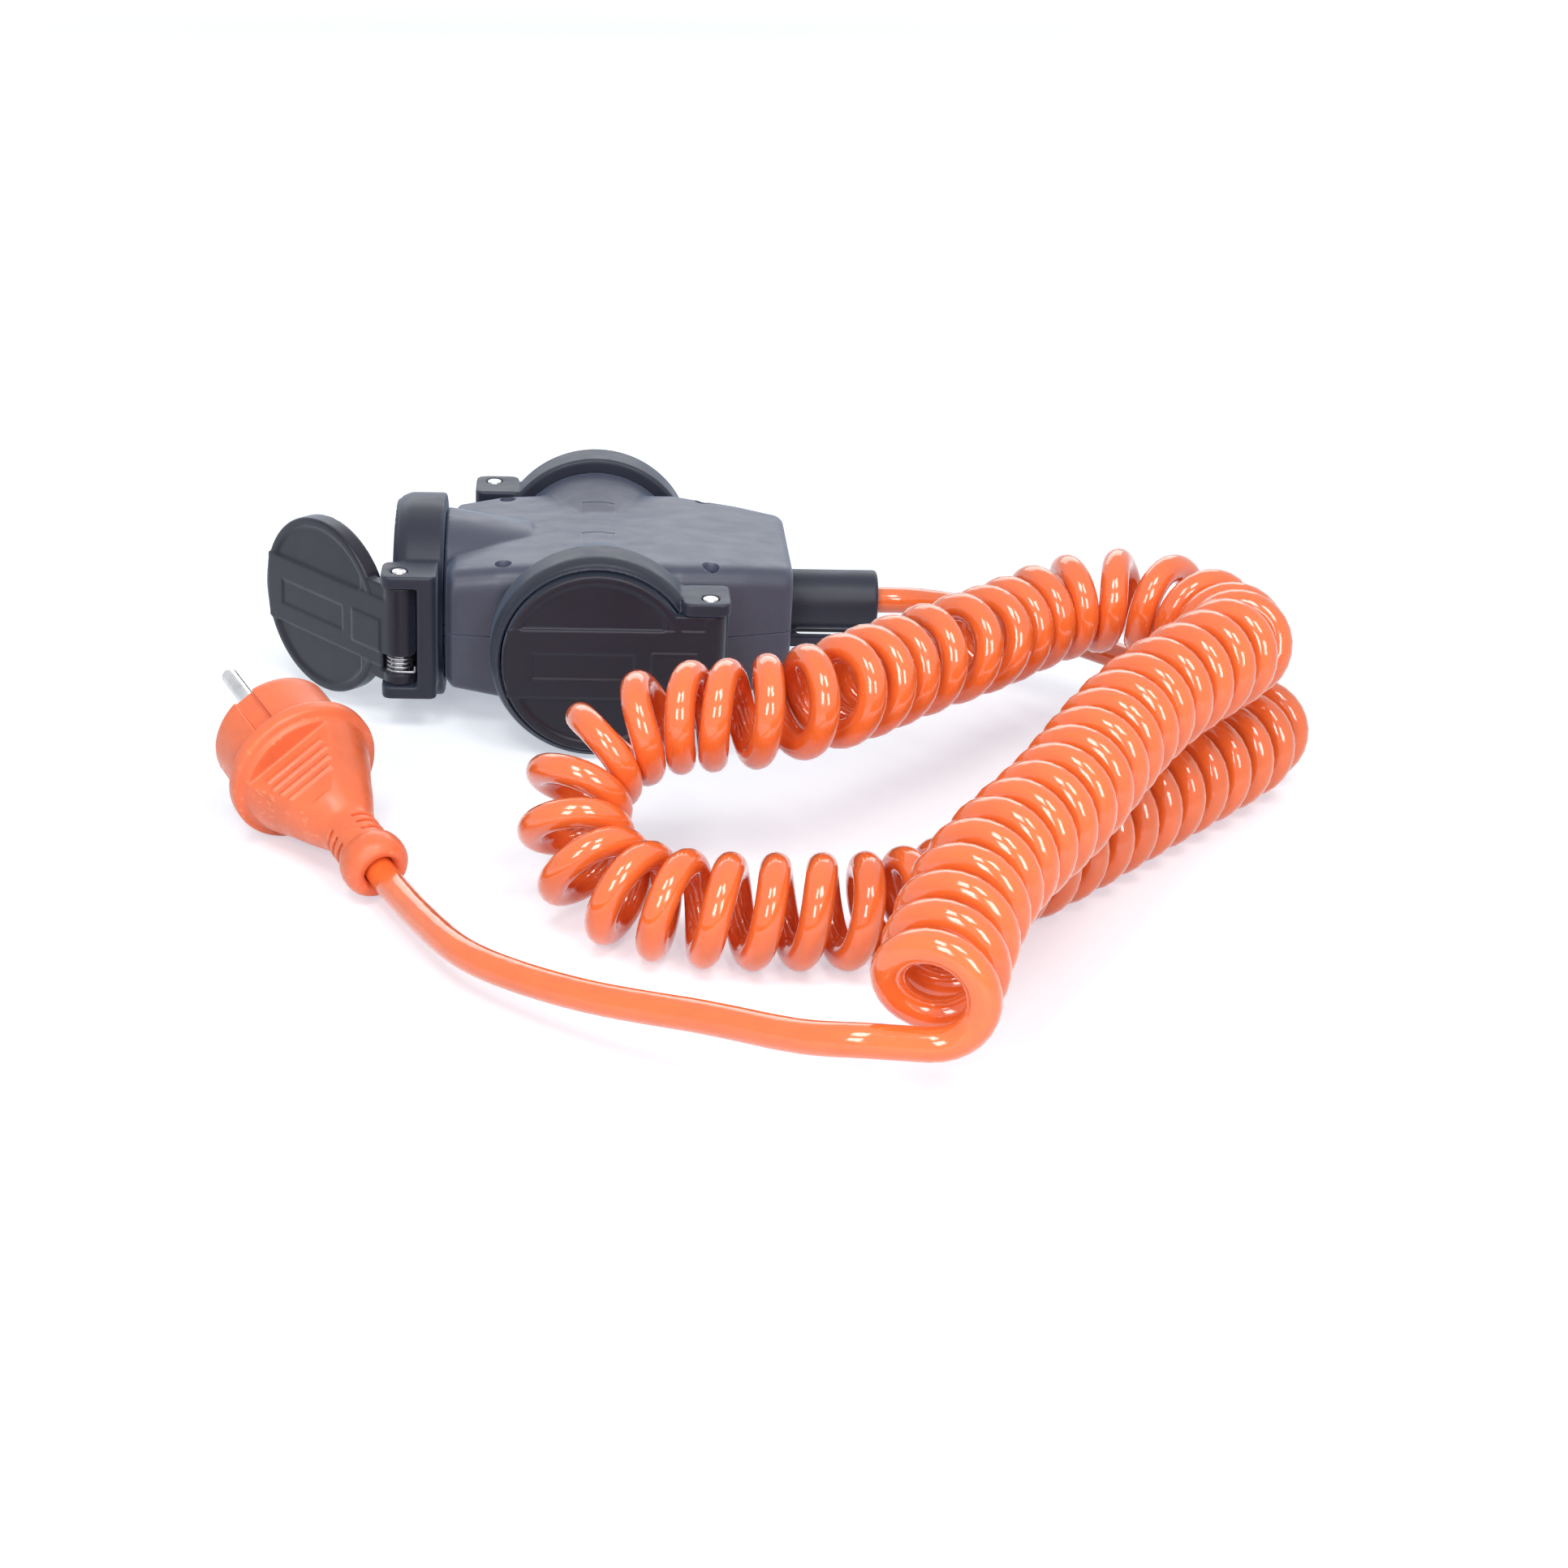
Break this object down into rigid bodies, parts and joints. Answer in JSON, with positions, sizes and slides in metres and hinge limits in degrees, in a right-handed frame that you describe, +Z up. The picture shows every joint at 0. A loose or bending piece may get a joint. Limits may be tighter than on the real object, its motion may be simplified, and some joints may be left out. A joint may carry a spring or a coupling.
{
  "type": "extension cord with a socket distributor",
  "caption": "Extension cord with a black rubber socket distributor, sprung hinged lids, an orange curly cord and an orange moulded safety plug",
  "frame": {"origin": "on the floor under the middle of the distributor's own box, its open left lid included", "axes": "+X along the distributor towards its cord gland, +Y away from the front socket, +Z up from the surface it lies on"},
  "size_m": [0.3169, 0.3357, 0.0691],
  "materials": {
    "housing_rubber": "charcoal solid rubber, satin with a faint blue-grey sheen",
    "lid_rubber": "black moulded rubber, satin",
    "insert_plastic": "black moulded plastic",
    "seal_rubber": "soft black rubber, matt",
    "nickel_steel": "bright nickel plate",
    "contact_brass": "plain strip brass",
    "cord_sheath": "glossy orange polyurethane sheath",
    "plug_rubber": "satin salmon-orange moulding",
    "clamp_plastic": "light grey moulded plastic"
  },
  "bodies": {
    "distributor": {"housing_lower": "housing_rubber", "housing_upper": "housing_rubber", "housing_screw_1": "nickel_steel", "housing_screw_2": "nickel_steel", "housing_screw_3": "nickel_steel", "housing_screw_4": "nickel_steel", "collar_left": "housing_rubber", "insert_left": "insert_plastic", "earth_clip_left": "nickel_steel", "contact_live_left": "contact_brass", "contact_neutral_left": "contact_brass", "hinge_pin_left": "nickel_steel", "lid_spring_left": "nickel_steel", "collar_front": "housing_rubber", "insert_front": "insert_plastic", "earth_clip_front": "nickel_steel", "contact_live_front": "contact_brass", "contact_neutral_front": "contact_brass", "hinge_pin_front": "nickel_steel", "lid_spring_front": "nickel_steel", "collar_back": "housing_rubber", "insert_back": "insert_plastic", "earth_clip_back": "nickel_steel", "contact_live_back": "contact_brass", "contact_neutral_back": "contact_brass", "hinge_pin_back": "nickel_steel", "lid_spring_back": "nickel_steel", "busbar_live": "contact_brass", "busbar_neutral": "contact_brass", "busbar_earth": "contact_brass", "cable_clamp": "clamp_plastic", "clamp_screw_1": "nickel_steel", "clamp_screw_2": "nickel_steel", "cable_gland": "housing_rubber", "hanging_strap": "housing_rubber", "cord_stub": "cord_sheath", "cord_tail": "cord_sheath", "cord_curl": "cord_sheath", "cord_lead": "cord_sheath", "plug_body": "plug_rubber", "plug_pin_1": "nickel_steel", "plug_pin_2": "nickel_steel", "plug_earth_clip_1": "nickel_steel", "plug_earth_clip_2": "nickel_steel"},
    "lid_unit_left": {"lid_left": "lid_rubber", "lid_seal_left": "seal_rubber"},
    "lid_unit_front": {"lid_front": "lid_rubber", "lid_seal_front": "seal_rubber"},
    "lid_unit_back": {"lid_back": "lid_rubber", "lid_seal_back": "seal_rubber"}
  },
  "joints": [
    {"name": "lid_hinge_front", "type": "hinge", "parent": "distributor", "child": "lid_unit_front", "pos_m": [0.04184, -0.053, 0.0314], "axis": [0, 0, 1], "range_deg": [0, 95], "stiffness_Nm_per_rad": 0.02, "springref_deg": -20.05},
    {"name": "lid_hinge_left", "type": "hinge", "parent": "distributor", "child": "lid_unit_left", "pos_m": [-0.05166, -0.0335, 0.0314], "axis": [0, 0, 1], "range_deg": [-43, 52], "stiffness_Nm_per_rad": 0.02},
    {"name": "lid_hinge_back", "type": "hinge", "parent": "distributor", "child": "lid_unit_back", "pos_m": [-0.02516, 0.053, 0.0314], "axis": [0, 0, 1], "range_deg": [0, 95], "stiffness_Nm_per_rad": 0.02, "springref_deg": -20.05}
  ]
}
